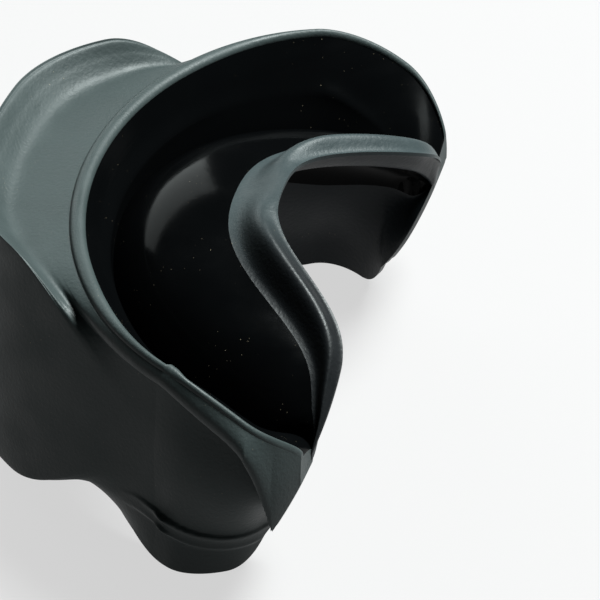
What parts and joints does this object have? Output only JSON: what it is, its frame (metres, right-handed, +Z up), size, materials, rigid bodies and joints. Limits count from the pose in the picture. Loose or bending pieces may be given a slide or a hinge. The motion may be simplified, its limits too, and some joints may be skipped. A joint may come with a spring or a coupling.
{
  "type": "vibration dampening mouthpiece",
  "caption": "Moulded black rubber mouthpiece that dampens knocks: arched cup with flared rim, vaulted web, side lobes, lip shield and breathing port.",
  "frame": {"origin": "middle of the breathing port, on its axis", "axes": "-Y is the front, where the lip shield faces; +Z is up, towards the rim; +X is the wearer's left, and the body mirrors across X = 0"},
  "size_m": [0.0686, 0.0423, 0.0302],
  "materials": {
    "satin_rubber": "satin",
    "gloss_rubber": "gloss"
  },
  "bodies": {
    "root": {"cup_rim": "satin_rubber", "front_wall": "satin_rubber", "wall_left": "satin_rubber", "wall_right": "satin_rubber", "front_apron": "satin_rubber", "lobe_left": "satin_rubber", "lobe_right": "satin_rubber", "web_plate": "gloss_rubber", "web_lip": "satin_rubber", "lip_shield": "satin_rubber", "port_liner": "satin_rubber"}
  },
  "joints": []
}
